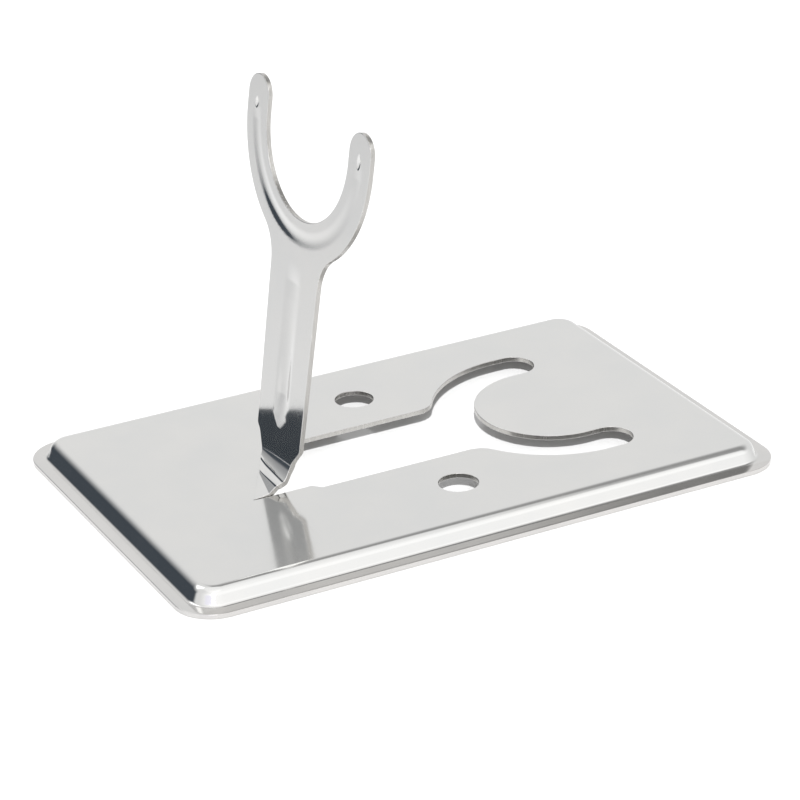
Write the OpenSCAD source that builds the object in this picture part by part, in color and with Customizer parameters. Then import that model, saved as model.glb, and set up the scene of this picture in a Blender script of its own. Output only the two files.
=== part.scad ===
// Razor stand stamped in one piece from stainless steel sheet. A shallow tray
// shaped plate stands on its rim; a forked arm is lanced out of the plate and
// bent up, so the arm leaves a fork shaped cut-out behind it. The razor neck
// drops into the U of the fork. Units are millimetres, +Z is up, the origin is
// at the middle of the underside, +X runs along the plate from the arm root
// towards the round end of the cut-out.

/* [Sheet] */
// sheet thickness
sheet_t = 0.8; // [0.5:0.1:1.2]

/* [Base plate] */
// length over the rim
plate_length = 104; // [80:0.5:130]
// width over the rim
plate_width = 67.5; // [50:0.5:90]
// corner radius of the rim outline
rim_corner_r = 6.5; // [5.5:0.25:10]
// height of the raised top above the rim
rise = 2.6; // [2:0.1:5]
// flat width of the rim that touches the table
rim_w = 1.9; // [1:0.1:3]
// angle of the sloping side wall
wall_angle = 67; // [45:1:80]
// bend radius at the top of the wall, outside
top_bend_r = 1.8; // [1.2:0.1:3]
// bend radius at the foot of the wall, top face
foot_bend_r = 0.6; // [0.3:0.1:1.5]
// diameter of the two fixing holes
hole_d = 6.4; // [3:0.1:8]
// distance between the two fixing holes, across the plate
hole_spacing = 36; // [26:0.5:44]
// position of the holes along the plate
hole_x = 1; // [-8:0.5:8]

/* [Cut-out] */
// where the cut ends on the near (-Y) side of the arm root
root_near_x = -29.2; // [-32:0.1:-27]
// where the cut ends on the far (+Y) side of the arm root
root_far_x = -21.3; // [-23:0.1:-20.5]
// gap of the cut along each side of the arm root
root_gap = 0.15; // [0.05:0.05:0.4]
// width of the straight slot
slot_w = 17; // [16:0.25:20]
// where the slot steps out from the root width
slot_step_x = -18.6; // [-19.6:0.2:-14]
// centre of the round part
cut_x = 28; // [24:0.5:30]
// inner radius of the round part
cut_r_in = 12.5; // [11:0.25:13]
// outer radius of the round part
cut_r_out = 19.5; // [18:0.25:21]
// straight run past the centre, to the middle of the rounded end
cut_tail = 2.1; // [0.5:0.1:3]
// fillet between the slot and the round part
cut_fillet_r = 4; // [2:0.5:7]

/* [Arm root] */
// width of the arm where it leaves the plate
root_w = 14; // [13:0.1:15]
// near edge, first lift: run along the plate
lift1_run = 2.7; // [1.5:0.1:3]
// near edge, first lift: rise
lift1_rise = 0.35; // [0.1:0.05:0.8]
// near edge, pressed facet: run
facet_run = 1.25; // [0.8:0.05:1.6]
// near edge, pressed facet: rise
facet_rise = 1.05; // [0.5:0.05:1.4]
// near edge, shallow band above the facet: run
band_run = 1.45; // [1:0.05:2]
// near edge, shallow band above the facet: rise
band_rise = 0.45; // [0.2:0.05:0.8]
// near edge, steep step: run
step_run = 1.3; // [0.8:0.05:1.8]
// near edge, steep step: rise
step_rise = 2.8; // [2:0.1:3.5]
// how far along the root line the pressed facet starts
facet_at = 0.68; // [0.5:0.02:0.85]

/* [Stem and fork] */
// front face of the stem at its foot, along the plate
foot_x = -21.35; // [-21.8:0.05:-20.8]
// height of the stem foot above the table
foot_z = 9.3; // [8.6:0.1:11]
// lean of the stem from upright, away from the root
lean = 8.5; // [4:0.5:12]
// turn of the arm about the upright, from the slanted root line
yaw = 2.1; // [0:0.1:4]
// height along the stem to the centre of the U
stem_len = 49; // [40:0.2:60]
// width of the stem where it meets the fork
stem_w = 15; // [14.2:0.2:18]
// inside radius of the U
fork_r_in = 12.9; // [11:0.1:15]
// outside radius of the fork
fork_r_out = 19.4; // [17.5:0.1:22]
// straight run of the prongs, to the middle of the rounded tip
prong_run = 2.4; // [1.5:0.1:6]
// fillet between stem and fork
neck_fillet_r = 7; // [3:0.5:10]

/* [Pressed grooves] */
// depth of the grooves in the front face
groove_depth = 0.5; // [0.2:0.05:0.7]
// width of the groove up the stem
stem_groove_w = 3.6; // [2.4:0.1:5]
// centre of the lower end of the stem groove, along the stem
stem_groove_start = 3.4; // [3:0.2:8]
// centre of the upper end of the stem groove, along the stem
stem_groove_end = 27; // [15:0.5:27]
// width of the groove round the U
u_groove_w = 2.4; // [1.6:0.1:3]
// radius of the groove round the U, on its centre line
u_groove_r = 16.3; // [15.8:0.1:17]
// how far past the centre of the U the centre of that groove lies
u_groove_ahead = 1; // [0.4:0.1:1.4]
// how far each end of the U groove runs on past its own centre
u_groove_run = 0.2; // [0.1:0.1:1]

/* [Hidden] */
$fn = 96;
// neighbouring lengths of the one sheet run this far into each other
lap = 0.01;
steel = [0.80, 0.81, 0.82];
steel_arm = [0.74, 0.75, 0.77];
height = rise + sheet_t;
// section through the rim, measured outwards from the corner centre
wall_arc_run = (top_bend_r + foot_bend_r) * sin(wall_angle);
wall_arc_drop = (top_bend_r + foot_bend_r) * (1 - cos(wall_angle));
wall_len = (rise - wall_arc_drop) / sin(wall_angle);
wall_run = wall_arc_run + wall_len * cos(wall_angle);
top_edge_r = rim_corner_r - rim_w - wall_run;
half_l = plate_length / 2 - rim_corner_r;
half_w = plate_width / 2 - rim_corner_r;
// grooves pressed with a round nosed tool: the nose radius follows from the
// width and the depth
stem_nose_r = (pow(stem_groove_w / 2, 2) + pow(groove_depth, 2)) / (2 * groove_depth);
u_nose_r = (pow(u_groove_w / 2, 2) + pow(groove_depth, 2)) / (2 * groove_depth);

// a quarter-disc style wedge used to cut an arc of sheet out of a ring
module wedge(r, a0, a1) {
  am = (a0 + a1) / 2;
  polygon([[0, 0],
           [r * cos(a0), r * sin(a0)],
           [1.6 * r * cos(am), 1.6 * r * sin(am)],
           [r * cos(a1), r * sin(a1)]]);
}

// one bend of the sheet: a ring sector of inside radius ri
module bend2d(ri, a0, a1) {
  intersection() {
    difference() {
      circle(r = ri + sheet_t);
      circle(r = ri);
    }
    wedge((ri + sheet_t) * 1.3, a0, a1);
  }
}

// ---------------------------------------------------------------- base plate

// section of the raised edge: flat top, bend, sloping wall, bend, flat rim
module edge_section(lead) {
  translate([-lead, height - sheet_t])
    square([top_edge_r + lead + lap, sheet_t]);
  translate([top_edge_r, height - top_bend_r])
    bend2d(top_bend_r - sheet_t, 90 - wall_angle, 90);
  translate([top_edge_r + top_bend_r * sin(wall_angle),
             height - top_bend_r * (1 - cos(wall_angle))])
    rotate(-wall_angle) translate([-lap, -sheet_t])
      square([wall_len + 2 * lap, sheet_t]);
  translate([top_edge_r + wall_run, sheet_t + foot_bend_r])
    bend2d(foot_bend_r, 270 - wall_angle, 270);
  translate([top_edge_r + wall_run - lap, 0])
    square([rim_w + lap, sheet_t]);
}

// straight run of the raised edge, pointing along +X of its own frame
module edge_run(len) {
  rotate([90, 0, 0]) linear_extrude(height = len, center = true)
    edge_section(0.4);
}

module edge_corner() {
  rotate_extrude(angle = 90) edge_section(0);
}

module raised_tray() {
  translate([-half_l, -half_w, height - sheet_t])
    cube([2 * half_l, 2 * half_w, sheet_t]);
  translate([half_l, 0, 0]) edge_run(2 * half_w);
  translate([-half_l, 0, 0]) rotate([0, 0, 180]) edge_run(2 * half_w);
  translate([0, half_w, 0]) rotate([0, 0, 90]) edge_run(2 * half_l);
  translate([0, -half_w, 0]) rotate([0, 0, -90]) edge_run(2 * half_l);
  translate([half_l, half_w, 0]) edge_corner();
  translate([-half_l, half_w, 0]) rotate([0, 0, 90]) edge_corner();
  translate([-half_l, -half_w, 0]) rotate([0, 0, 180]) edge_corner();
  translate([half_l, -half_w, 0]) rotate([0, 0, -90]) edge_corner();
}

// outline of a fork lying flat: stem along -X, U opening towards +X, centre of
// the U at the origin; the two sides are mirror images
module fork_head(ri, ro, tail, stem_half, fillet_r) {
  fx = -sqrt(pow(ro + fillet_r, 2) - pow(stem_half + fillet_r, 2));
  tip_r = (ro - ri) / 2;
  difference() {
    union() {
      intersection() {
        circle(r = ro);
        translate([-2 * ro, -2 * ro]) square([2 * ro, 4 * ro]);
      }
      for (s = [-1, 1]) {
        translate([0, s * (ri + tip_r) - tip_r]) square([tail, 2 * tip_r]);
        translate([tail, s * (ri + tip_r)]) circle(r = tip_r);
      }
      // web that carries the two fillets
      polygon([[fx, -stem_half], [fx * ro / (ro + fillet_r), -(stem_half + fillet_r) * ro / (ro + fillet_r)],
               [0, 0],
               [fx * ro / (ro + fillet_r), (stem_half + fillet_r) * ro / (ro + fillet_r)], [fx, stem_half]]);
    }
    circle(r = ri);
    translate([0, -ri]) square([2 * ro, 2 * ri]);
    for (s = [-1, 1])
      translate([fx, s * (stem_half + fillet_r)]) circle(r = fillet_r);
  }
}

// half width of the cut at the arm root, and the slanted line on which the arm
// leaves the plate: a point of it at across-position y
root_half = root_w / 2 + root_gap;
function root_line(y) = [root_near_x + (root_far_x - root_near_x) * (y + root_w / 2) / root_w, y];

// what the lanced arm leaves behind in the plate
module cut_out_outline() {
  translate([cut_x, 0])
    fork_head(cut_r_in, cut_r_out, cut_tail, slot_w / 2, cut_fillet_r);
  cut_neck_x = cut_x - sqrt(pow(cut_r_out + cut_fillet_r, 2) - pow(slot_w / 2 + cut_fillet_r, 2));
  polygon([root_line(-root_half), [slot_step_x - 0.6, -root_half],
           [slot_step_x + 0.6, -slot_w / 2], [cut_neck_x + lap, -slot_w / 2],
           [cut_neck_x + lap, slot_w / 2], [slot_step_x + 0.6, slot_w / 2],
           [slot_step_x - 0.6, root_half], root_line(root_half)]);
}

module base_plate() {
  color(steel)
  difference() {
    raised_tray();
    translate([0, 0, height - sheet_t - 1])
      linear_extrude(height = sheet_t + 2) cut_out_outline();
    for (s = [-1, 1])
      translate([hole_x, s * hole_spacing / 2, height - sheet_t - 1])
        cylinder(d = hole_d, h = sheet_t + 2);
  }
}

// ------------------------------------------------------------------ fork arm

// directions of the stem seen from the side: along it, and out of its front
along = [sin(lean), cos(lean)];
outward = [-cos(lean), sin(lean)];

// point of the stem's front plane: up the stem and across it
function on_stem(up, y) =
  [foot_x + cos(yaw) * up * along[0] - sin(yaw) * y,
   sin(yaw) * up * along[0] + cos(yaw) * y,
   foot_z + up * along[1]];
// the same space seen from the stem: up it, across it, and above its back face
function from_stem(p) =
  let (q = p - [foot_x, 0, foot_z])
  [q * [cos(yaw) * along[0], sin(yaw) * along[0], along[1]],
   q * [-sin(yaw), cos(yaw), 0],
   q * [cos(yaw) * outward[0], sin(yaw) * outward[0], outward[1]] + sheet_t];

// the two edges of the root, [x, z] points from the plate up to the stem foot.
// The near edge lifts in four steps, the far edge turns straight up at the end
// of its cut.
near_foot = on_stem(0, -root_w / 2);
far_foot = on_stem(0, root_w / 2);
p0 = [root_near_x, height];
p1 = p0 + [lift1_run, lift1_rise];
p2 = p1 + [facet_run, facet_rise];
p3 = p2 + [band_run, band_rise];
p4 = p3 + [0.35, 0.6];
p5 = p3 + [step_run, step_rise];
near_edge = [p0, p1, p2, p3, p4, p5, [near_foot[0], near_foot[2]]];
far_edge = [[root_far_x, height],
            [root_far_x + 0.25, height + 0.85],
            [root_far_x + 0.02, far_foot[2] - 1.2],
            [far_foot[0], far_foot[2]]];

// back of the sheet behind point k of an edge, with both neighbours known
function lift_n(a, b) = let (d = (b - a) / norm(b - a)) [-d[1], d[0]];
function behind(a, p, b) =
  let (m = lift_n(a, p), n = lift_n(p, b))
  p - sheet_t * (m + n) / (1 + m * n);
near_last = near_edge[6] + along;
far_last = far_edge[3] + along;
near_back = [[p0[0], height - sheet_t],
             for (k = [1:6]) behind(near_edge[k - 1], near_edge[k], k == 6 ? near_last : near_edge[k + 1])];
far_back = [[far_edge[0][0], height - sheet_t],
            for (k = [1:3]) behind(far_edge[k - 1], far_edge[k], k == 3 ? far_last : far_edge[k + 1])];

// rows of the root from the plate to the stem: front and back point of the near
// end and of the far end. The far ends of the first rows lie on the root line.
function at_near(p) = from_stem([p[0], -root_w / 2, p[1]]);
function at_far(p) = from_stem([p[0], root_w / 2, p[1]]);
function on_root(f, z) = let (q = root_line(-root_w / 2 + f * root_w)) from_stem([q[0], q[1], z]);
shared = 1;
rows = [
  [at_near(near_edge[0]), at_near(near_back[0]), on_root(0.03, height), on_root(0.03, height - sheet_t)],
  [at_near(near_edge[1]), at_near(near_back[1]), on_root(facet_at - 0.06, height), on_root(facet_at - 0.06, height - sheet_t)],
  [at_near(near_edge[2]), at_near(near_back[2]), on_root(facet_at, height), on_root(facet_at, height - sheet_t)],
  [at_near(near_edge[3]), at_near(near_back[3]), at_far(far_edge[0]), at_far(far_back[0])],
  [at_near(near_edge[4]), at_near(near_back[4]), at_far(far_edge[1]), at_far(far_back[1])],
  [at_near(near_edge[5]), at_near(near_back[5]), at_far(far_edge[2]), at_far(far_back[2])],
  // the foot, then a short length that the stem shares
  [[0, -root_w / 2, sheet_t], [at_near(near_back[6])[0], -root_w / 2, 0],
   [0, root_w / 2, sheet_t], [at_far(far_back[3])[0], root_w / 2, 0]],
  [[shared, -root_w / 2, sheet_t], [shared, -root_w / 2, 0],
   [shared, root_w / 2, sheet_t], [shared, root_w / 2, 0]]];

// the root as one skin: each row is walked across the front and back again
across = 6;
module root_skin() {
  nr = len(rows);
  ring = 2 * (across + 1);
  points = [for (r = rows) each concat(
              [for (i = [0:across]) r[0] + (r[2] - r[0]) * i / across],
              [for (i = [across:-1:0]) r[1] + (r[3] - r[1]) * i / across])];
  walls = [for (k = [0:nr - 2]) for (i = [0:ring - 1])
             let (j = (i + 1) % ring, a = k * ring)
             each [[a + i, a + j, a + ring + j], [a + i, a + ring + j, a + ring + i]]];
  first = [for (i = [0:across - 1])
             each [[i, ring - 1 - i, i + 1], [i + 1, ring - 1 - i, ring - 2 - i]]];
  a = (nr - 1) * ring;
  last = [for (i = [0:across - 1])
            each [[a + i, a + i + 1, a + ring - 1 - i], [a + i + 1, a + ring - 2 - i, a + ring - 1 - i]]];
  polyhedron(points = points, faces = concat(walls, first, last), convexity = 4);
}

neck_x = sqrt(pow(fork_r_out + neck_fillet_r, 2) - pow(stem_w / 2 + neck_fillet_r, 2));

// flat outline of stem and fork: the stem starts at the origin and runs to +X
module arm_outline() {
  polygon([[shared / 2, -root_w / 2], [2 * shared, -root_w / 2],
           [stem_len - neck_x + lap, -stem_w / 2], [stem_len - neck_x + lap, stem_w / 2],
           [2 * shared, root_w / 2], [shared / 2, root_w / 2]]);
  translate([stem_len, 0])
    fork_head(fork_r_in, fork_r_out, prong_run, stem_w / 2, neck_fillet_r);
}

// the path of the pressed grooves as a solid, grown by g; the sheet lies
// between z = 0 (back) and z = sheet_t (front face)
module stem_press(g) {
  r = stem_nose_r + g;
  translate([0, 0, sheet_t - groove_depth + stem_nose_r]) {
    translate([stem_groove_start, 0, 0]) rotate([0, 90, 0])
      cylinder(r = r, h = stem_groove_end - stem_groove_start);
    translate([stem_groove_start, 0, 0]) sphere(r = r);
    translate([stem_groove_end, 0, 0]) sphere(r = r);
  }
}

module u_press(g) {
  r = u_nose_r + g;
  translate([stem_len + u_groove_ahead, 0, sheet_t - groove_depth + u_nose_r]) {
    rotate([0, 0, 90]) rotate_extrude(angle = 180)
      translate([u_groove_r, 0]) circle(r = r);
    for (s = [-1, 1]) translate([0, s * u_groove_r, 0]) {
      rotate([0, 90, 0]) cylinder(r = r, h = u_groove_run);
      translate([u_groove_run, 0, 0]) sphere(r = r);
    }
  }
}

// sheet of the stem and fork with its grooves, lying flat
module pressed_sheet() {
  difference() {
    union() {
      linear_extrude(height = sheet_t) arm_outline();
      // the grooves stand out on the back by their own depth
      intersection() {
        union() { stem_press(sheet_t); u_press(sheet_t); }
        translate([-5, -30, -2]) cube([90, 60, 2 + sheet_t / 2]);
      }
    }
    stem_press(0);
    u_press(0);
  }
}

module fork_arm() {
  color(steel_arm)
    // the front face of the stem looks back over the arm root
    translate([foot_x, 0, foot_z]) rotate([0, 0, yaw])
      rotate([0, -(90 - lean), 0]) translate([0, 0, -sheet_t]) {
        root_skin();
        pressed_sheet();
      }
}

base_plate();
fork_arm();
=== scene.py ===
import math

import bpy
import numpy as np
from mathutils import Matrix, Vector
from mathutils.geometry import delaunay_2d_cdt

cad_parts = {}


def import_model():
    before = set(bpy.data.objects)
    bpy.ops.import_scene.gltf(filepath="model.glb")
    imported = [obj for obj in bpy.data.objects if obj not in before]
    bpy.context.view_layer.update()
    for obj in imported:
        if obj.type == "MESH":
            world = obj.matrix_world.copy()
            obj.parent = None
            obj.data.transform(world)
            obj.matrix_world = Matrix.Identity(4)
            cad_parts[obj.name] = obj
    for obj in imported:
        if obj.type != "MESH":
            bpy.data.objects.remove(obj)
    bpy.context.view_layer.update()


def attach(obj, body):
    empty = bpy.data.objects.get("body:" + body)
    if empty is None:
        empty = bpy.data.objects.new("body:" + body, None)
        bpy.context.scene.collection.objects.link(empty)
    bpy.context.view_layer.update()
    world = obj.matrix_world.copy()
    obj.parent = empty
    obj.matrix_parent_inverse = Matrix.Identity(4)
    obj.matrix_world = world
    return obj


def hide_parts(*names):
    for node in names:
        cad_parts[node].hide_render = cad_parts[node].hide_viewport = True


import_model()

MM = 0.001

# ----------------------------------------------------------------- dimensions
# millimetres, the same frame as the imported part
SHEET = 0.8
LENGTH, WIDTH = 104.0, 67.5
CORNER_R = 6.5
RISE = 2.6
RIM_W = 1.9
WALL = math.radians(67)
TOP_R, FOOT_R = 1.8, 0.6
TOP = RISE + SHEET
HOLE_D, HOLE_Y, HOLE_X = 6.4, 18.0, 1.0

ROOT_NEAR, ROOT_FAR, ROOT_W, ROOT_GAP = -29.2, -21.3, 14.0, 0.15
SLOT_HALF, SLOT_STEP = 8.5, -18.6
CUT_X, CUT_RI, CUT_RO, CUT_TAIL, CUT_FIL = 28.0, 12.5, 19.5, 2.1, 4.0

FOOT_X, FOOT_Z = -21.35, 9.3
LEAN, YAW = math.radians(8.5), math.radians(2.1)
STEM_LEN, STEM_HALF = 49.0, 7.5
FORK_RI, FORK_RO, PRONG, NECK_FIL = 12.9, 19.4, 2.4, 7.0

GROOVE = 0.5
SG_W, SG_0, SG_1 = 5.3, 1.3, 29.0
UG_W, UG_R, UG_C, UG_END = 2.9, 16.1, 49.4, 49.6
PITS = ((50.0, 16.45, 0.95, 0.55), (50.1, -16.0, 1.3, 0.55))

SOFT = 0.88
EDGE = 0.09          # the small roll of a sheared and tumbled edge


# ------------------------------------------------------------------- helpers
def arc(cx, cy, r, a0, a1, step=0.45):
    n = max(3, int(math.ceil(abs(math.radians(a1 - a0)) * r / step)))
    t = np.radians(np.linspace(a0, a1, n + 1))
    return np.c_[cx + r * np.cos(t), cy + r * np.sin(t)]


def run(p, q, step=0.8):
    p, q = np.array(p, float), np.array(q, float)
    n = max(1, int(math.ceil(np.linalg.norm(q - p) / step)))
    return p + (q - p) * np.linspace(0, 1, n + 1)[:, None]


def chain(*parts):
    out = [parts[0]]
    for p in parts[1:]:
        out.append(p[1:] if np.linalg.norm(p[0] - out[-1][-1]) < 1e-6 else p)
    return np.vstack(out)


def fork_side(ri, ro, tail, half, fil, step):
    """Outline of a fork from the near side of its stem round to the far side."""
    fx = -math.sqrt((ro + fil) ** 2 - (half + fil) ** 2)
    phi = math.degrees(math.atan2(half + fil, -fx))
    tip = (ro - ri) / 2
    return fx, chain(
        arc(fx, -(half + fil), fil, 90, phi, step),
        arc(0, 0, ro, 180 + phi, 270, step),
        run((0, -ro), (tail, -ro), step),
        arc(tail, -(ri + tip), tip, -90, 90, step * 0.6),
        run((tail, -ri), (0, -ri), step),
        arc(0, 0, ri, 270, 90, step),
        run((0, ri), (tail, ri), step),
        arc(tail, ri + tip, tip, -90, 90, step * 0.6),
        run((tail, ro), (0, ro), step),
        arc(0, 0, ro, 90, 180 - phi, step),
        arc(fx, half + fil, fil, -phi, -90, step),
    )


def outward(path, closed):
    """Unit normal on the right hand side of a path, averaged at each point."""
    if closed:
        d0 = path - np.roll(path, 1, 0)
        d1 = np.roll(path, -1, 0) - path
    else:
        d1 = np.vstack([path[1:] - path[:-1], path[-1:] - path[-2:-1]])
        d0 = np.vstack([path[1:2] - path[:1], path[1:] - path[:-1]])
    d0 /= np.linalg.norm(d0, axis=1)[:, None]
    d1 /= np.linalg.norm(d1, axis=1)[:, None]
    t = d0 + d1
    t /= np.linalg.norm(t, axis=1)[:, None]
    n = np.c_[t[:, 1], -t[:, 0]]
    # keep the offset distance right round a corner
    k = np.clip(np.sum(n * np.c_[d1[:, 1], -d1[:, 0]], 1), 0.5, 1)
    return n, 1 / k


def inside(points, poly):
    x, y = points[:, 0][:, None], points[:, 1][:, None]
    x0, y0 = poly[:, 0], poly[:, 1]
    x1, y1 = np.roll(x0, -1), np.roll(y0, -1)
    cross = ((y0 > y) != (y1 > y)) & (x < (x1 - x0) * (y - y0) / (y1 - y0 + 1e-15) + x0)
    return cross.sum(1) % 2 == 1


def gap_to(points, poly):
    a, b = poly, np.roll(poly, -1, 0)
    d = b - a
    l2 = np.maximum((d ** 2).sum(1), 1e-12)
    best = np.full(len(points), 1e9)
    for i in range(0, len(points), 4000):
        p = points[i:i + 4000]
        t = np.clip(((p[:, None] - a) * d).sum(2) / l2, 0, 1)
        best[i:i + 4000] = np.linalg.norm(p[:, None] - (a + t[..., None] * d), axis=2).min(1)
    return best


def triangulate(loops, extra):
    """Triangles of the area inside loops[0] and outside the other loops."""
    pts, edges, n = [], [], 0
    for lp in loops:
        k = len(lp)
        pts += [Vector(p) for p in lp]
        edges += [(n + i, n + (i + 1) % k) for i in range(k)]
        n += k
    pts += [Vector(p) for p in extra]
    v, e, f, ov, oe, of = delaunay_2d_cdt(pts, edges, [], 0, 1e-7)
    v = np.array([tuple(p) for p in v])
    f = np.array([t for t in f if len(t) == 3])
    mid = v[f].mean(1)
    keep = inside(mid, np.array(loops[0]))
    for lp in loops[1:]:
        keep &= ~inside(mid, np.array(lp))
    f = f[keep]
    a, b, c = v[f[:, 0]], v[f[:, 1]], v[f[:, 2]]
    area = (b[:, 0] - a[:, 0]) * (c[:, 1] - a[:, 1]) - (b[:, 1] - a[:, 1]) * (c[:, 0] - a[:, 0])
    f[area < 0] = f[area < 0][:, ::-1]
    return v, f


class Skin:
    """Collects points with their normals, and faces with a material number."""

    def __init__(self):
        self.v, self.n, self.f, self.m, self.key = [], [], [], [], {}

    def put(self, p, n):
        k = (round(p[0], 4), round(p[1], 4), round(p[2], 4))
        i = self.key.get(k)
        if i is None:
            i = self.key[k] = len(self.v)
            self.v.append(np.array(p, float))
            self.n.append(np.zeros(3))
        self.n[i] = self.n[i] + np.asarray(n) / max(np.linalg.norm(n), 1e-9)
        return i

    def rows(self, P, N):
        return [self.put(p, n) for p, n in zip(P, N)]

    def face(self, ids, mat=0):
        out = []
        for i in ids:
            if i not in out:
                out.append(i)
        if len(out) > 2:
            self.f.append(tuple(out))
            self.m.append(mat)

    def strip(self, a, b, mat=0, closed=False, skip=None):
        n = len(a)
        for i in range(n if closed else n - 1):
            j = (i + 1) % n
            if skip is not None and skip[i] and skip[j]:
                continue
            self.face((a[i], b[i], b[j], a[j]), mat)

    def build(self, name, mats):
        nn = np.array(self.n)
        nn /= np.maximum(np.linalg.norm(nn, axis=1), 1e-9)[:, None]
        V = np.array(self.v)
        faces = []
        for f in self.f:
            a, b, c = V[f[0]], V[f[1]], V[f[2]]
            d = V[f[3]] if len(f) > 3 else c
            g = np.cross(c - a, d - b) if len(f) > 3 else np.cross(b - a, c - a)
            faces.append(f if g @ nn[list(f)].sum(0) >= 0 else f[::-1])
        self.f = faces
        me = bpy.data.meshes.new(name)
        me.from_pydata([tuple(p * MM) for p in self.v], [], self.f)
        for m in mats:
            me.materials.append(m)
        me.polygons.foreach_set("material_index", self.m)
        me.polygons.foreach_set("use_smooth", [True] * len(self.f))
        me.update()
        me.normals_split_custom_set_from_vertices([tuple(x) for x in nn])
        ob = bpy.data.objects.new(name, me)
        bpy.context.scene.collection.objects.link(ob)
        return ob


ROLL = np.radians([0, 22.5, 45, 67.5, 90])


# ------------------------------------------------------------------ materials
def node(tree, kind, **values):
    n = tree.nodes.new(kind)
    for k, v in values.items():
        if k.startswith("in_"):
            n.inputs[k[3:].replace("_", " ")].default_value = v
        else:
            setattr(n, k, v)
    return n


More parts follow.
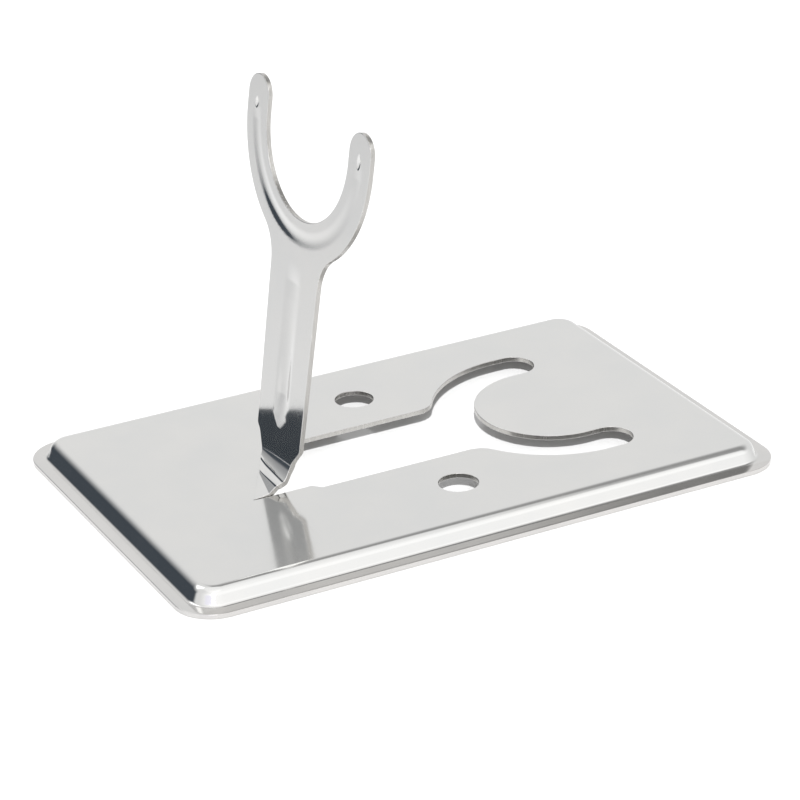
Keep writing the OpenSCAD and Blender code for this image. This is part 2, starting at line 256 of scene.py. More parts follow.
def polished(name, base, rough, grain):
    """Bright rolled and polished stainless sheet: fine random scratches, faint
    clouding of the polish, and a very slight waviness of the sheet."""
    m = bpy.data.materials.new(name)
    m.use_nodes = True
    t = m.node_tree
    t.nodes.clear()
    out = node(t, "ShaderNodeOutputMaterial")
    sh = node(t, "ShaderNodeBsdfPrincipled")
    sh.inputs["Metallic"].default_value = 1.0
    t.links.new(sh.outputs[0], out.inputs[0])
    co = node(t, "ShaderNodeTexCoord")

    def mapped(scale, rot=(0, 0, 0)):
        mp = node(t, "ShaderNodeMapping")
        mp.inputs["Scale"].default_value = scale
        mp.inputs["Rotation"].default_value = rot
        t.links.new(co.outputs["Object"], mp.inputs["Vector"])
        return mp

    def noise(mp, scale, detail=3.0, rough_=0.55):
        n = node(t, "ShaderNodeTexNoise")
        n.inputs["Scale"].default_value = scale
        n.inputs["Detail"].default_value = detail
        n.inputs["Roughness"].default_value = rough_
        t.links.new(mp.outputs[0], n.inputs["Vector"])
        return n

    def span(src, a, b, lo, hi):
        r = node(t, "ShaderNodeMapRange")
        r.inputs["From Min"].default_value = a
        r.inputs["From Max"].default_value = b
        r.inputs["To Min"].default_value = lo
        r.inputs["To Max"].default_value = hi
        t.links.new(src, r.inputs["Value"])
        return r.outputs[0]

    def calc(op, a, b):
        c = node(t, "ShaderNodeMath", operation=op)
        for k, s in enumerate((a, b)):
            if isinstance(s, (int, float)):
                c.inputs[k].default_value = s
            else:
                t.links.new(s, c.inputs[k])
        return c.outputs[0]

    # clouding of the polish
    cloud = noise(mapped((1, 1, 1)), 90.0, 4.0)
    # long fine scratches in two directions, thin because the noise is stretched
    s1 = noise(mapped((40, 2600, 900), (0, 0, 0.16)), 1.0, 2.0)
    s2 = noise(mapped((1900, 60, 700), (0, 0, -0.35)), 1.0, 2.0)
    hair1 = span(s1.outputs["Fac"], 0.66, 0.72, 0.0, 1.0)
    hair2 = span(s2.outputs["Fac"], 0.68, 0.74, 0.0, 1.0)
    hairs = calc("MAXIMUM", hair1, hair2)
    # short handling marks
    marks = noise(mapped((300, 1200, 600), (0, 0, 0.9)), 1.0, 3.0)
    mark = span(marks.outputs["Fac"], 0.70, 0.75, 0.0, 1.0)

    # colour: a little warmer and darker where the polish is clouded
    ramp = node(t, "ShaderNodeValToRGB")
    ramp.color_ramp.elements[0].position = 0.35
    ramp.color_ramp.elements[0].color = (*[c * k for c, k in zip(base, (0.965, 0.972, 0.980))], 1)
    ramp.color_ramp.elements[1].position = 0.68
    ramp.color_ramp.elements[1].color = (*base, 1)
    t.links.new(cloud.outputs["Fac"], ramp.inputs["Fac"])
    # painted shade: the colour of the lowest millimetre (the flat rim and the foot of the pressed wall) is mixed 0.3 of
    # the way, 0.5 on the near side, towards a darker, warmer tone
    pos = node(t, "ShaderNodeSeparateXYZ")
    t.links.new(co.outputs["Object"], pos.inputs[0])
    low = span(pos.outputs[2], 0.00081, 0.00100, 1.0, 0.0)
    near = span(pos.outputs[1], -0.03205, -0.0316, 0.5, 0.3)
    rim_shade_mix = node(t, "ShaderNodeMix", data_type="RGBA")
    t.links.new(calc("MULTIPLY", low, near), rim_shade_mix.inputs[0])
    t.links.new(ramp.outputs[0], rim_shade_mix.inputs[6])
    # the darker, warmer painted shade colours for the rim and the wall foot, clouded like the rest
    painted_rim_shade = node(t, "ShaderNodeValToRGB")
    painted_rim_shade.color_ramp.elements[0].position = 0.3
    painted_rim_shade.color_ramp.elements[0].color = (base[0] * 0.72, base[1] * 0.69, base[2] * 0.68, 1)
    painted_rim_shade.color_ramp.elements[1].position = 0.7
    painted_rim_shade.color_ramp.elements[1].color = (base[0] * 0.84, base[1] * 0.81, base[2] * 0.80, 1)
    t.links.new(cloud.outputs["Fac"], painted_rim_shade.inputs["Fac"])
    t.links.new(painted_rim_shade.outputs[0], rim_shade_mix.inputs[7])
    t.links.new(rim_shade_mix.outputs[2], sh.inputs["Base Color"])

    # roughness
    r0 = span(cloud.outputs["Fac"], 0.3, 0.7, rough * 0.85, rough * 1.2)
    r1 = calc("MULTIPLY", hairs, 0.05)
    r2 = calc("MULTIPLY", mark, 0.08)
    r = calc("ADD", calc("ADD", r0, r1), r2)
    t.links.new(r, sh.inputs["Roughness"])

    # bump: sheet waviness, then grain and scratches
    wave = noise(mapped((1, 1, 1)), 38.0, 1.5, 0.4)
    b1 = node(t, "ShaderNodeBump")
    b1.inputs["Strength"].default_value = 1.0
    b1.inputs["Distance"].default_value = 0.0000045
    t.links.new(wave.outputs["Fac"], b1.inputs["Height"])
    fine = noise(mapped((400, 5200, 2200), (0, 0, 0.08)), 1.0, 2.0)
    h = calc("SUBTRACT", calc("MULTIPLY", fine.outputs["Fac"], grain), calc("MULTIPLY", calc("MAXIMUM", hairs, mark), 0.5))
    b2 = node(t, "ShaderNodeBump")
    b2.inputs["Strength"].default_value = 0.35
    b2.inputs["Distance"].default_value = 0.0000012
    t.links.new(h, b2.inputs["Height"])
    t.links.new(b1.outputs[0], b2.inputs["Normal"])
    t.links.new(b2.outputs[0], sh.inputs["Normal"])
    return m


def sheared(name, base, rough):
    """The cut edge of the sheet: darker grey steel, mottled in tone and roughness, with fine lines down the face from
    the punch."""
    m = bpy.data.materials.new(name)
    m.use_nodes = True
    t = m.node_tree
    t.nodes.clear()
    out = node(t, "ShaderNodeOutputMaterial")
    sh = node(t, "ShaderNodeBsdfPrincipled")
    sh.inputs["Metallic"].default_value = 1.0
    t.links.new(sh.outputs[0], out.inputs[0])
    co = node(t, "ShaderNodeTexCoord")
    mp = node(t, "ShaderNodeMapping")
    mp.inputs["Scale"].default_value = (2600, 2600, 160)
    t.links.new(co.outputs["Object"], mp.inputs["Vector"])
    n = node(t, "ShaderNodeTexNoise")
    n.inputs["Scale"].default_value = 1.0
    n.inputs["Detail"].default_value = 3.0
    t.links.new(mp.outputs[0], n.inputs["Vector"])
    ramp = node(t, "ShaderNodeValToRGB")
    ramp.color_ramp.elements[0].position = 0.35
    ramp.color_ramp.elements[0].color = (*[c * 0.86 for c in base], 1)
    ramp.color_ramp.elements[1].position = 0.65
    ramp.color_ramp.elements[1].color = (*base, 1)
    t.links.new(n.outputs["Fac"], ramp.inputs["Fac"])
    t.links.new(ramp.outputs[0], sh.inputs["Base Color"])
    r = node(t, "ShaderNodeMapRange")
    r.inputs["From Min"].default_value = 0.3
    r.inputs["From Max"].default_value = 0.7
    r.inputs["To Min"].default_value = rough * 0.8
    r.inputs["To Max"].default_value = rough * 1.2
    t.links.new(n.outputs["Fac"], r.inputs["Value"])
    t.links.new(r.outputs[0], sh.inputs["Roughness"])
    b = node(t, "ShaderNodeBump")
    b.inputs["Strength"].default_value = 0.5
    b.inputs["Distance"].default_value = 0.0000012
    t.links.new(n.outputs["Fac"], b.inputs["Height"])
    t.links.new(b.outputs[0], sh.inputs["Normal"])
    return m


STEEL = (0.672, 0.668, 0.655)
face_mat = polished("polished_sheet", STEEL, 0.10, 0.5)
edge_mat = sheared("sheared_edge", (0.50, 0.49, 0.47), 0.24)


# ----------------------------------------------------------------- base plate
def tray():
    s = Skin()
    hl, hw = LENGTH / 2 - CORNER_R, WIDTH / 2 - CORNER_R
    turn = np.linspace(0, 90, 19)
    # one loop: unit directions and centres, round the four corners
    cen, dirs = [], []
    for k, (sx, sy) in enumerate(((1, 1), (-1, 1), (-1, -1), (1, -1))):
        for a in turn + 90 * k:
            cen.append((sx * hl, sy * hw))
            dirs.append((math.cos(math.radians(a)), math.sin(math.radians(a))))
    cen, dirs = np.array(cen), np.array(dirs)

    # section, as distance from the corner centre, height and normal
    wall_run = (TOP_R + FOOT_R) * math.sin(WALL)
    drop = (TOP_R + FOOT_R) * (1 - math.cos(WALL))
    wall_run += (RISE - drop) / math.sin(WALL) * math.cos(WALL)
    r0 = CORNER_R - RIM_W - wall_run
    wa = math.degrees(WALL)
    sec = []

    def bend(cx, cz, r, a0, a1, flip, n=12):
        for a in np.radians(np.linspace(a0, a1, n)):
            k = -1 if flip else 1
            # the pressed wall is a little rounder than a straight slope
            b = math.radians(90) - SOFT * math.asin(min(1.0, abs(math.cos(a)))) if abs(math.sin(a)) > 1e-9 else 0
            nr, nz = math.cos(b), math.sin(b)
            up = 1 if k * math.sin(a) > 0 else -1
            sec.append((cx + r * math.cos(a), cz + r * math.sin(a), nr * (1 if k * math.cos(a) > 0 else -1), nz * up, 0))

    bend(r0, TOP - TOP_R, TOP_R, 90, 90 - wa, False, 16)
    bend(r0 + wall_run, SHEET + FOOT_R, FOOT_R, 270 - wa, 270, True)
    sec.append((CORNER_R - EDGE, SHEET, 0, 1, 0))
    for a in ROLL[1:]:
        sec.append((CORNER_R - EDGE * (1 - math.sin(a)), SHEET - EDGE * (1 - math.cos(a)), math.sin(a), math.cos(a), 0))
    for a in ROLL[::-1]:
        sec.append((CORNER_R - EDGE * (1 - math.sin(a)), EDGE * (1 - math.cos(a)), math.sin(a), -math.cos(a), 1))
    bend(r0 + wall_run, SHEET + FOOT_R, SHEET + FOOT_R, 270, 270 - wa, False)
    bend(r0, TOP - TOP_R, TOP_R - SHEET, 90 - wa, 90, True)
    loops = []
    for rho, z, nr, nz, mat in sec:
        P = np.c_[cen + dirs * rho, np.full(len(cen), z)]
        N = np.c_[dirs * nr, np.full(len(cen), nz)]
        loops.append((s.rows(P, N), mat))
    for (a, ma), (b, mb) in zip(loops, loops[1:]):
        s.strip(a, b, mb if ma else 0, closed=True)

    # cut-out and holes
    root = lambda y: (ROOT_NEAR + (ROOT_FAR - ROOT_NEAR) * (y + ROOT_W / 2) / ROOT_W, y)
    rh = ROOT_W / 2 + ROOT_GAP
    fx, side = fork_side(CUT_RI, CUT_RO, CUT_TAIL, SLOT_HALF, CUT_FIL, 0.4)
    side = side + [CUT_X, 0]
    hinge = run(root(rh), root(-rh), 0.5)
    slot = chain(run((SLOT_STEP + 0.6, -SLOT_HALF), (fx + CUT_X, -SLOT_HALF), 1.2), side,
                 run((fx + CUT_X, SLOT_HALF), (SLOT_STEP + 0.6, SLOT_HALF), 1.2),
                 run((SLOT_STEP + 0.6, SLOT_HALF), (SLOT_STEP - 0.6, rh)),
                 run((SLOT_STEP - 0.6, rh), root(rh)), hinge,
                 run(root(-rh), (SLOT_STEP - 0.6, -rh)),
                 run((SLOT_STEP - 0.6, -rh), (SLOT_STEP + 0.6, -SLOT_HALF)))[:-1]
    # the loop runs with the opening on its left, so the metal is on its right
    on_root = (np.abs(slot[:, 0] - np.array([root(y)[0] for y in slot[:, 1]])) < 1e-6)
    holes = [slot] + [arc(HOLE_X, k * HOLE_Y, HOLE_D / 2, 0, 360, 0.25)[:-1] for k in (-1, 1)]
    inner = []
    for i, h in enumerate(holes):
        n, k = outward(h, True)
        e = np.full(len(h), EDGE)
        if i == 0:
            e[on_root] = 0.004
        rings = []
        for top in (True, False):
            for a in (ROLL if top else ROLL[::-1]):
                off = (e * k * (1 - math.sin(a)))[:, None]
                dz = e * (1 - math.cos(a))
                z = TOP - dz if top else RISE + dz
                P = np.c_[h + n * off, z]
                N = np.c_[-n * math.sin(a), np.full(len(h), math.cos(a) if top else -math.cos(a))]
                rings.append(s.rows(P, N))
        inner.append(h + n * (e * k)[:, None])
        for j, (a, b) in enumerate(zip(rings, rings[1:])):
            s.strip(b, a, 1 if 2 <= j <= 5 else 0, closed=True, skip=on_root if i == 0 else None)
    outer = cen + dirs * r0
    v, f = triangulate([outer] + inner, [])
    top = s.rows(np.c_[v, np.full(len(v), TOP)], np.tile((0, 0, 1.0), (len(v), 1)))
    bot = s.rows(np.c_[v, np.full(len(v), RISE)], np.tile((0, 0, -1.0), (len(v), 1)))
    for a, b, c in f:
        s.face((top[a], top[b], top[c]))
        s.face((bot[a], bot[c], bot[b]))
    return s


# ------------------------------------------------------------------- fork arm
UP = np.array([math.cos(YAW) * math.sin(LEAN), math.sin(YAW) * math.sin(LEAN), math.cos(LEAN)])
ACROSS = np.array([-math.sin(YAW), math.cos(YAW), 0.0])
OUT = np.array([-math.cos(YAW) * math.cos(LEAN), -math.sin(YAW) * math.cos(LEAN), math.sin(LEAN)])
FOOT = np.array([FOOT_X, 0.0, FOOT_Z])
JOIN = 1.6            # height up the stem where the two meshes of the arm meet


def stem_half(s_):
    nx = STEM_LEN - math.sqrt((FORK_RO + NECK_FIL) ** 2 - (STEM_HALF + NECK_FIL) ** 2)
    k = np.clip((s_ - 2) / (nx - 2), 0, 1)
    return ROOT_W / 2 + (STEM_HALF - ROOT_W / 2) * k, nx


def press(s_, y):
    """Depth of the pressed grooves."""
    def nose(d, w, deep):
        q = np.clip(d / (w / 2), 0, 1)
        return deep * (1 - q ** 2) ** 2

    # the straight groove runs in on a long ramp and fades out below the fork
    k = np.clip((s_ - SG_0) / 5.8, 0, 1)
    w = SG_W * np.clip((s_ - SG_0) / 2.4, 0.02, 1) ** 0.5
    a = nose(np.abs(y), w, GROOVE * k) * (1 - 0.55 * np.clip((s_ - 9) / 14, 0, 1))
    a = a * np.clip((SG_1 - s_) / 3, 0, 1) ** 2
    # the curved groove is deepest low on the far side
    rho = np.hypot(s_ - UG_C, y)
    turn = np.arctan2(y, UG_C - s_)
    deep = 0.13 + 0.13 * np.exp(-((turn - 0.42) / 0.42) ** 2)
    end = np.clip((UG_END - s_) / 2.2, 0, 1)
    b = nose(np.abs(np.where(s_ < UG_C, rho, np.abs(y)) - UG_R), UG_W, deep * end)
    # the press tool bites a small pit at each end of the curved groove
    pit = 0
    for ps, py, hl, hw in PITS:
        q = ((s_ - ps) / hl) ** 2 + ((y - py) / hw) ** 2
        pit = pit + 0.34 * np.clip(1 - q, 0, 1) ** 1.5
    return np.maximum(a, b + pit)


def stem_surface(s_, y):
    """Front face point and normal."""
    e = 0.02
    d = press(s_, y)
    gs = (press(s_ + e, y) - press(s_ - e, y)) / (2 * e)
    gy = (press(s_, y + e) - press(s_, y - e)) / (2 * e)
    P = FOOT + s_[:, None] * UP + y[:, None] * ACROSS - d[:, None] * OUT
    N = OUT + gs[:, None] * UP + gy[:, None] * ACROSS
    N /= np.linalg.norm(N, axis=1)[:, None]
    return P, N


def corner_path(pts, soft):
    """A path through pts, one unit of t per leg, each corner rounded off."""
    pts = [np.array(p, float) for p in pts]

    def at(t):
        k = min(int(t), len(pts) - 2)
        return pts[k] + (pts[k + 1] - pts[k]) * (t - k)

    def f(t):
        k = int(round(t))
        if 0 < k < len(pts) - 1:
            a, b = soft[k]
            if k - a < t < k + b:
                u = (t - (k - a)) / (a + b)
                p0, p1, p2 = at(k - a), pts[k], at(k + b)
                return (1 - u) ** 2 * p0 + 2 * u * (1 - u) * p1 + u ** 2 * p2
        return at(t)

    return f


def root_surface():
    p0 = np.array([ROOT_NEAR, TOP])
    p1 = p0 + [2.7, 0.35]
    p2 = p1 + [1.25, 1.05]
    p3 = p2 + [1.45, 0.45]
    p4 = p3 + [0.35, 0.6]
    p5 = p3 + [1.3, 2.8]
    near = [np.array([p[0], -ROOT_W / 2, p[1]]) for p in (p0, p1, p2, p3, p4, p5)]
    near += [FOOT - ROOT_W / 2 * ACROSS, FOOT + JOIN * UP - ROOT_W / 2 * ACROSS]
    A, B = near[0], np.array([ROOT_FAR, ROOT_W / 2, TOP])
    ff = FOOT + ROOT_W / 2 * ACROSS
    far = [A + (B - A) * k for k in (0, 0.62, 0.68, 1)]
    far += [np.array([ROOT_FAR + 0.25, ROOT_W / 2, TOP + 0.85]),
            np.array([ROOT_FAR + 0.02, ROOT_W / 2, ff[2] - 1.2]), ff, ff + JOIN * UP]
    N = corner_path(near, {1: (.14, .22), 2: (.3, .28), 3: (.16, .42), 4: (.42, .16), 5: (.14, .26), 6: (.26, .3)})
    F = corner_path(far, {1: (.0, .0), 2: (.0, .0), 3: (.0, .0), 4: (.45, .16), 5: (.15, .4), 6: (.4, .4)})

    def ease(w, c):
        if c < 1e-3:
            return w
        return np.where(w < c, w * w / (2 * c), w - c / 2) / (1 - c / 2)

    def S(t, u):
        n, f = N(t), F(t)
        c = 0.3 if t <= 3 else 0.3 * max(0.0, 1 - (t - 3) / 1.2)
        w = 1 - u
        P = n + (f - n) * np.asarray(u)[:, None]
        P[:, 2] = f[2] + (n[2] - f[2]) * ease(w, c)
        return P

    return S


def smooth(a, b, x):
    k = np.clip((np.asarray(x, float) - a) / (b - a), 0, 1)
    return k * k * (3 - 2 * k)


def lean_normal(deg, h):
    a = np.radians(np.asarray(deg, float))[..., None]
    return np.cos(a) * np.array([0, 0, 1.0]) + np.sin(a) * np.array(h)


def fold_normals(t, u, n):
    """Crisp folds of the root: the small facet at the near edge, the sharp
    crease, and the round bend above it that runs into the flat stem."""
    u = np.asarray(u, float)

    def mix(a, b, w):
        w = np.asarray(w)[..., None]
        m = a * (1 - w) + b * w
        return m / np.linalg.norm(m, axis=1)[:, None]

    flat = np.zeros_like(u)
    h1 = (-1.0, 0.0, 0)
    h2 = (-0.989, 0.152, 0)
    hinge = 1 - smooth(0.90, 1.0, u)
    facet = smooth(1.0, 1.1, t) * (1 - smooth(1.84, 1.9, t))
    n = mix(n, lean_normal(flat + 33, h1), facet * hinge)
    dark = smooth(1.84, 1.88, t) * (1 - smooth(1.97, 2.06, t))
    n = mix(n, lean_normal(flat + 58, h1), dark * hinge)
    # crease
    n = mix(n, lean_normal(flat + 56, h2), smooth(2.66, 2.74, t) * (1 - smooth(2.84, 2.88, t)) * np.ones_like(u))
    n = mix(n, lean_normal(flat + 6, h2), smooth(2.84, 2.88, t) * np.ones_like(u))
    end = 5.0 - 0.75 * u
    x = np.clip((t - 3.04) / (end - 3.04), 0, 1.4)
    bend = lean_normal(25 + 10 * np.clip(x, 0, 1) + 45 * smooth(0.66, 1.05, x), h2)
    n = mix(n, bend, smooth(3.0, 3.06, t) * np.ones_like(u))
    n = mix(n, np.tile(OUT, (len(u), 1)), smooth(0.9, 1.35, x))
    return n


def arm():
    s = Skin()
    S = root_surface()
    # rows are closer together in the bends
    ts = np.unique(np.round(np.concatenate([
        np.linspace(0.02, 3, 50), np.linspace(0.96, 2.1, 58), np.linspace(2.7, 3.1, 34), np.linspace(2.8, 4.3, 46), np.linspace(4.3, 5.6, 26), np.linspace(5.6, 6.4, 26), np.linspace(6.4, 7, 6)]), 5))
    nu = 44
    us = np.linspace(0, 1, nu + 1)
    e = 1e-3
    front, back, near_f, far_f, near_b, far_b = [], [], [], [], [], []
    grid_p, grid_n = [], []
    for t in ts:
        t0, t1 = max(t - 0.01, 0.01), min(t + 0.01, 7)
        P = S(t, us)
        dt = S(t1, us) - S(t0, us)
        du = S(t, np.clip(us + e, 0, 1)) - S(t, np.clip(us - e, 0, 1))
        nn = np.cross(dt, du)
        nn /= np.maximum(np.linalg.norm(nn, axis=1), 1e-12)[:, None]
        if nn[0] @ np.array([-0.3, 0, 1]) < 0:
            nn = -nn
        grid_p.append(P)
        grid_n.append(nn)
    grid_p, grid_n = np.array(grid_p), np.array(grid_n)
    grid_n[-1] = OUT
    for j, t in enumerate(ts):
        grid_n[j] = fold_normals(t, us, grid_n[j])
    for j, t in enumerate(ts):
        P, nn = grid_p[j], grid_n[j]
        rowdir = P[-1] - P[0]
        width = np.linalg.norm(rowdir)
        hinge_row = t < 3 - 1e-6
        if hinge_row:
            nn = nn.copy()
            nn[-1] = (0, 0, 1)
        e0 = min(EDGE, width * 0.2)
        e1 = 0.0 if hinge_row else e0
        fr, bk = [], []
        for side, ed in ((0, e0), (1, e1)):
            E, n = P[0 if side == 0 else -1], nn[0 if side == 0 else -1]
            b = (P[0] - P[1]) if side == 0 else (P[-1] - P[-2])
            b = b - n * (b @ n)
            b /= max(np.linalg.norm(b), 1e-12)
            ring_f, ring_b = [], []
            for a in ROLL:
                ring_f.append((E - b * ed * (1 - math.sin(a)) - n * ed * (1 - math.cos(a)), n * math.cos(a) + b * math.sin(a)))
                ring_b.append((E - n * SHEET - b * ed * (1 - math.sin(a)) + n * ed * (1 - math.cos(a)), -n * math.cos(a) + b * math.sin(a)))
            if side == 0:
                near_f.append([s.put(*q) for q in ring_f]); near_b.append([s.put(*q) for q in ring_b])
            elif not hinge_row:
                far_f.append([s.put(*q) for q in ring_f]); far_b.append([s.put(*q) for q in ring_b])
        # the inner points slide in a little so that the rolled edges have room
        inner = slice(1, nu)
        ids = [near_f[-1][0]] + s.rows(P[inner], nn[inner])
        idb = [near_b[-1][0]] + s.rows(P[inner] - nn[inner] * SHEET, -nn[inner])
        if hinge_row:
            ids.append(s.put(P[-1], (0, 0, 1)))
            idb.append(s.put(P[-1] - np.array([0, 0, SHEET]), (0, 0, -1)))
        else:
            ids.append(far_f[-1][0])
            idb.append(far_b[-1][0])
        front.append(ids)
        back.append(idb)
    for a, b in zip(front, front[1:]):
        s.strip(b, a, 0)
    for a, b in zip(back, back[1:]):
        s.strip(a, b, 0)

    def side_wall(F, B, flip):
        for (f0, f1), (b0, b1) in zip(zip(F, F[1:]), zip(B, B[1:])):
            line0, line1 = f0 + b0[::-1], f1 + b1[::-1]
            for k in range(len(line0) - 1):
                q = (line0[k], line0[k + 1], line1[k + 1], line1[k])
                s.face(q if flip else q[::-1], 1 if 2 <= k <= 6 else 0)

    side_wall(near_f, near_b, False)
    side_wall(far_f, far_b, True)

    # stem and fork
    half, nx = stem_half(np.array([JOIN]))
    fx, side = fork_side(FORK_RI, FORK_RO, PRONG, STEM_HALF, NECK_FIL, 0.4)
    side = side + [STEM_LEN, 0]
    path = chain(run((JOIN, -half[0]), (2.0, -half[0]), 0.4), run((2.0, -ROOT_W / 2), (nx, -STEM_HALF), 0.5),
                 side, run((nx, STEM_HALF), (2.0, ROOT_W / 2), 0.5), run((2.0, half[0]), (JOIN, half[0]), 0.4))
    # the path runs with the metal on its left, so its right side is outward
    n2, k2 = outward(path, False)
    n2[0], n2[-1] = (0, -1), (0, 1)
    rings = []
    for top in (True, False):
        for a in (ROLL if top else ROLL[::-1]):
            flat = path - n2 * (EDGE * (1 - math.sin(a)) * k2)[:, None]
            P, N = stem_surface(flat[:, 0], flat[:, 1])
            b3 = n2[:, :1] * UP + n2[:, 1:] * ACROSS
            if top:
                Q = P - N * EDGE * (1 - math.cos(a))
                M = N * math.cos(a) + b3 * math.sin(a)
            else:
                Q = P - N * (SHEET - EDGE * (1 - math.cos(a)))
                M = -N * math.cos(a) + b3 * math.sin(a)
            rings.append(s.rows(Q, M))
    for j, (a, b) in enumerate(zip(rings, rings[1:])):
        s.strip(a, b, 1 if 2 <= j <= 5 else 0)
    inner = path - n2 * (EDGE * k2)[:, None]
    seam = np.c_[np.full(nu - 1, JOIN), (ROOT_W * (1 - us[1:nu]) - ROOT_W / 2)]
    loop = np.vstack([inner, seam])
    h = 0.36
    gx, gy = np.meshgrid(np.arange(JOIN + 0.3, 56, h), np.arange(-20, 20.01, h))
    grid = np.c_[gx.ravel(), gy.ravel()]
    grid[:, 1] += 0.5 * h * (np.round((grid[:, 0] - JOIN - 0.3) / h) % 2)
    fine = []
    for ps, py, hl, hw in PITS:
        far = np.hypot((grid[:, 0] - ps) / (hl + 0.3), (grid[:, 1] - py) / (hw + 0.3)) > 1
        grid = grid[far]
        a, b = np.meshgrid(np.arange(-hl - 0.3, hl + 0.31, 0.11), np.arange(-hw - 0.3, hw + 0.31, 0.11))
        q = np.c_[a.ravel(), b.ravel()]
        q = q[np.hypot(q[:, 0] / (hl + 0.2), q[:, 1] / (hw + 0.2)) < 1]
        fine.append(q + [ps, py])
    grid = np.vstack([grid] + fine)
    grid = grid[inside(grid, loop)]
    grid = grid[gap_to(grid, loop) > 0.17]
    v, f = triangulate([loop], grid)
    P, N = stem_surface(v[:, 0], v[:, 1])
    fr = s.rows(P, N)
    bk = s.rows(P - N * SHEET, -N)
    for a, b, c in f:
        # local frame: up x across = -out, so the front runs the other way round
        s.face((fr[a], fr[c], fr[b]))
        s.face((bk[a], bk[b], bk[c]))
    return s


plate = tray().build("stand_plate", [face_mat, edge_mat])
fork = arm().build("stand_fork_arm", [face_mat, edge_mat])
for ob, nd in ((plate, "base_plate"), (fork, "fork_arm")):
    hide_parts(nd)
    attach(ob, "root")


# ----------------------------------------------------------------------- floor
def floor():
    me = bpy.data.meshes.new("floor")
    r = 1.6
    me.from_pydata([(-r, -r, 0), (r, -r, 0), (r, r, 0), (-r, r, 0)], [], [(0, 1, 2, 3)])
    ob = bpy.data.objects.new("floor", me)
    bpy.context.scene.collection.objects.link(ob)
    m = bpy.data.materials.new("pale_floor")
    m.use_nodes = True
    t = m.node_tree
    sh = t.nodes["Principled BSDF"]
    sh.inputs["Base Color"].default_value = (0.35, 0.35, 0.35, 1)
    sh.inputs["Roughness"].default_value = 0.05
    sh.inputs["Specular IOR Level"].default_value = 0.7
    sh.inputs["Emission Color"].default_value = (1.0, 0.985, 0.96, 1)
    sh.inputs["Emission Strength"].default_value = 0.09
    me.materials.append(m)
    return ob


floor()


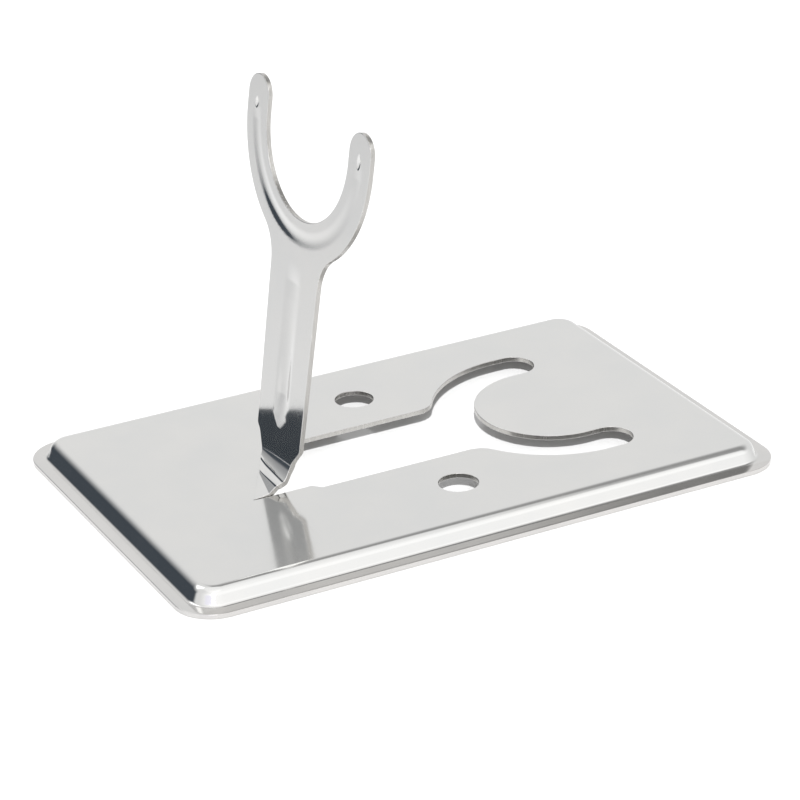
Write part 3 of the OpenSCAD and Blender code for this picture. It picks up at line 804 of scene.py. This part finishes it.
# ---------------------------------------------------------------------- lights
def world():
    w = bpy.data.worlds.new("studio")
    bpy.context.scene.world = w
    w.use_nodes = True
    t = w.node_tree
    t.nodes.clear()
    out = node(t, "ShaderNodeOutputWorld")
    bg = node(t, "ShaderNodeBackground")
    t.links.new(bg.outputs[0], out.inputs[0])
    co = node(t, "ShaderNodeTexCoord")
    sep = node(t, "ShaderNodeSeparateXYZ")
    t.links.new(co.outputs["Generated"], sep.inputs[0])
    X, Y, Z = sep.outputs

    def calc(op, a, b=None):
        c = node(t, "ShaderNodeMath", operation=op)
        for k, s in enumerate((a, b)):
            if s is None:
                continue
            if isinstance(s, (int, float)):
                c.inputs[k].default_value = s
            else:
                t.links.new(s, c.inputs[k])
        return c.outputs[0]

    def step(v, a, b):
        r = node(t, "ShaderNodeMapRange", interpolation_type="SMOOTHSTEP")
        lo, hi = (a, b) if a < b else (b, a)
        r.inputs["From Min"].default_value = lo
        r.inputs["From Max"].default_value = hi
        r.inputs["To Min"].default_value = 0.0 if a < b else 1.0
        r.inputs["To Max"].default_value = 1.0 if a < b else 0.0
        t.links.new(v, r.inputs["Value"])
        return r.outputs[0]

    az = calc("MULTIPLY", calc("ARCTAN2", X, Y), 180 / math.pi)      # from +Y towards +X
    el = calc("MULTIPLY", calc("ARCSINE", Z), 180 / math.pi)

    def band(v, a0, a1, b0, b1):
        return calc("MULTIPLY", step(v, a0, a1), step(v, b1, b0))

    # soft white room, brighter in front and overhead
    level = 1.03
    front = calc("MULTIPLY", step(Y, 0.1, -0.6), calc("ADD", calc("MULTIPLY", step(el, 16, 42), 0.26), 0.20))
    over = calc("MULTIPLY", band(el, 58, 72, 200, 210), 0.25)
    base = calc("ADD", calc("ADD", front, over), level)
    # dark screen at the back left, low down
    dark1 = calc("MULTIPLY", band(az, -75, -58, -19, 11), step(el, 46, 19))
    # thin dark bar high at the back right
    dark2 = calc("MULTIPLY", band(az, 8, 24, 95, 120), band(el, 30, 56, 61, 65))
    # bright lamp on the camera side
    lamp_dir = Vector((-0.33, -0.64, 0.69)).normalized()
    dot = node(t, "ShaderNodeVectorMath", operation="DOT_PRODUCT")
    t.links.new(co.outputs["Generated"], dot.inputs[0])
    dot.inputs[1].default_value = lamp_dir
    lamp = calc("MULTIPLY", step(dot.outputs["Value"], math.cos(math.radians(11)), math.cos(math.radians(7))), 5.0)

    v = calc("MULTIPLY", base, calc("SUBTRACT", 1.0, calc("MULTIPLY", dark1, 0.93)))
    v = calc("MULTIPLY", v, calc("SUBTRACT", 1.0, calc("MULTIPLY", dark2, 0.60)))
    # softbox high at the back left
    soft = calc("MULTIPLY", band(az, -50, -38, -16, -8), band(el, 37, 42, 60, 66))
    v = calc("ADD", v, calc("MULTIPLY", soft, 1.2))
    v = calc("ADD", v, lamp)
    comb = node(t, "ShaderNodeCombineColor")
    # a cool panel at the front left
    cold = calc("MULTIPLY", band(az, -168, -150, -122, -108), band(el, -5, 6, 34, 44))
    t.links.new(calc("MULTIPLY", v, calc("SUBTRACT", 1.0, calc("MULTIPLY", cold, 0.09))), comb.inputs[0])
    green = calc("MULTIPLY", v, calc("SUBTRACT", 1.0, calc("MULTIPLY", cold, 0.10)))
    t.links.new(calc("ADD", green, calc("MULTIPLY", dark1, 0.014)), comb.inputs[1])
    t.links.new(calc("ADD", v, calc("MULTIPLY", dark1, 0.032)), comb.inputs[2])
    t.links.new(comb.outputs[0], bg.inputs["Color"])
    bg.inputs["Strength"].default_value = 1.0


world()

sun = bpy.data.lights.new("key", "SUN")
sun.energy = 10.4
sun.angle = math.radians(2.5)
sun_ob = bpy.data.objects.new("key", sun)
bpy.context.scene.collection.objects.link(sun_ob)
d = -Vector((-0.33, -0.64, 0.69)).normalized()
sun_ob.rotation_euler = d.to_track_quat("-Z", "Y").to_euler()
sun_ob.visible_glossy = False
blockers = bpy.data.collections.new("key_blockers")
blockers.objects.link(plate)
sun_ob.light_linking.blocker_collection = blockers


# ---------------------------------------------------------------------- camera
def camera():
    az, el, roll = math.radians(-27.012), math.radians(24.969), math.radians(-1.721)
    backv = Vector((math.sin(az) * math.cos(el), -math.cos(az) * math.cos(el), math.sin(el)))
    right = Vector((math.cos(az), math.sin(az), 0))
    up = backv.cross(right)
    c, s_ = math.cos(roll), math.sin(roll)
    r2 = right * c + up * s_
    u2 = right * -s_ + up * c
    cam = bpy.data.cameras.new("camera")
    cam.sensor_width = 36
    cam.lens = 143.8
    cam.clip_start = 0.01
    ob = bpy.data.objects.new("camera", cam)
    m = Matrix((r2, u2, backv)).transposed().to_4x4()
    m.translation = Vector((-0.20997, -0.41255, 0.22620))
    ob.matrix_world = m
    bpy.context.scene.collection.objects.link(ob)
    bpy.context.scene.camera = ob


camera()
vs = bpy.context.scene.view_settings
vs.view_transform = "Standard"
vs.look = "None"
